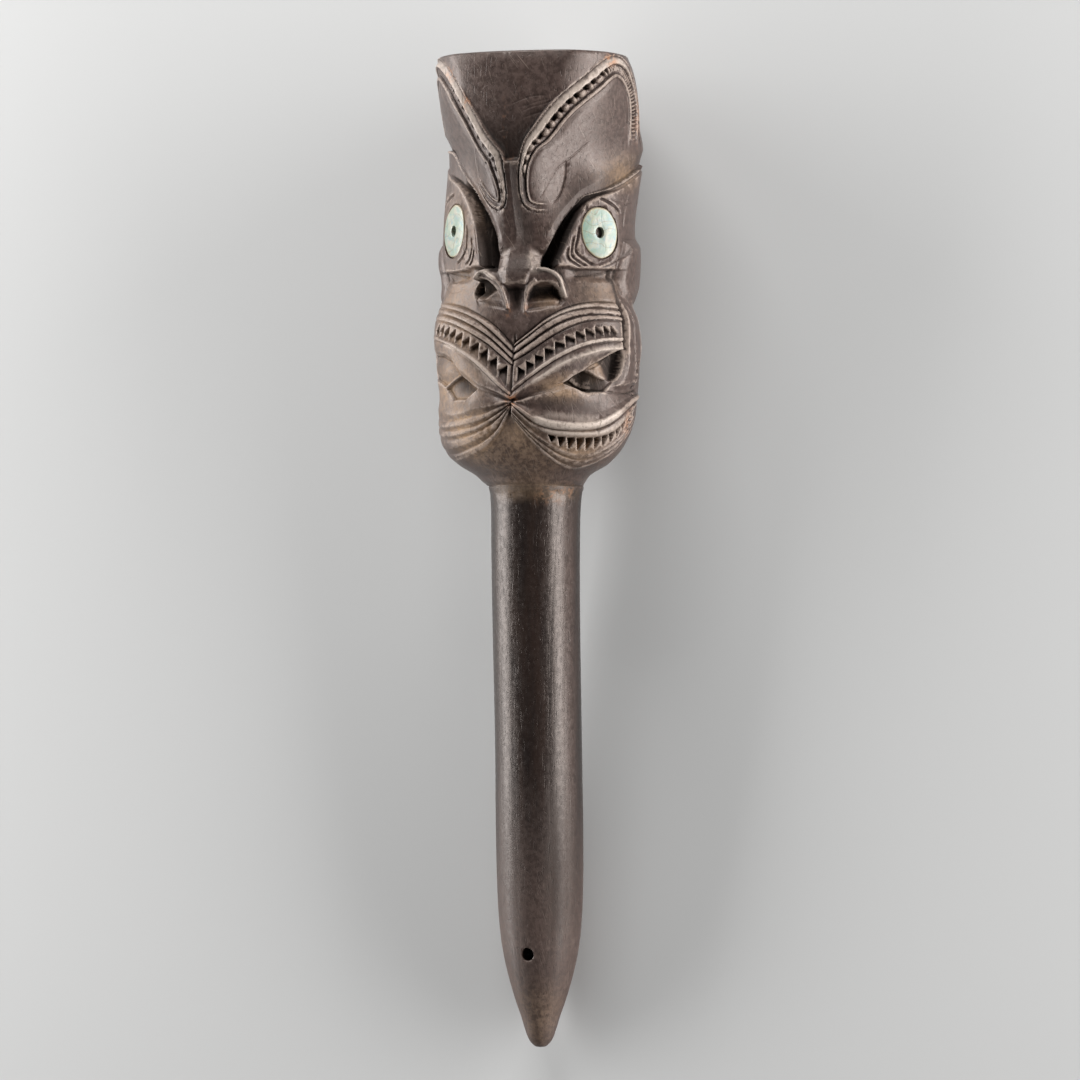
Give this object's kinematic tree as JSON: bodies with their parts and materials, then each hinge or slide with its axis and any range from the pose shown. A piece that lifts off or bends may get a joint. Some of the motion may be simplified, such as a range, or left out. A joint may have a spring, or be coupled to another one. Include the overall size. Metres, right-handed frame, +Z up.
{
  "type": "carved wooden god stick",
  "caption": "Lying god stick: a deeply carved wooden head with inlaid shell ring eyes on a round shaft that tapers to a blunt point, drilled for a tie near its tip.",
  "frame": {"origin": "centre of the bounding box at the surface that the stick lies on", "axes": "+X along the stick towards the head, +Z up and out of the face, +Y towards the left of somebody who looks at the face with its top up"},
  "size_m": [0.3968, 0.0847, 0.0827],
  "materials": {
    "wood": "satin",
    "shell": "gloss"
  },
  "bodies": {
    "root": {"carved_stick": "wood", "left_eye_shell": "shell", "right_eye_shell": "shell"}
  },
  "joints": []
}
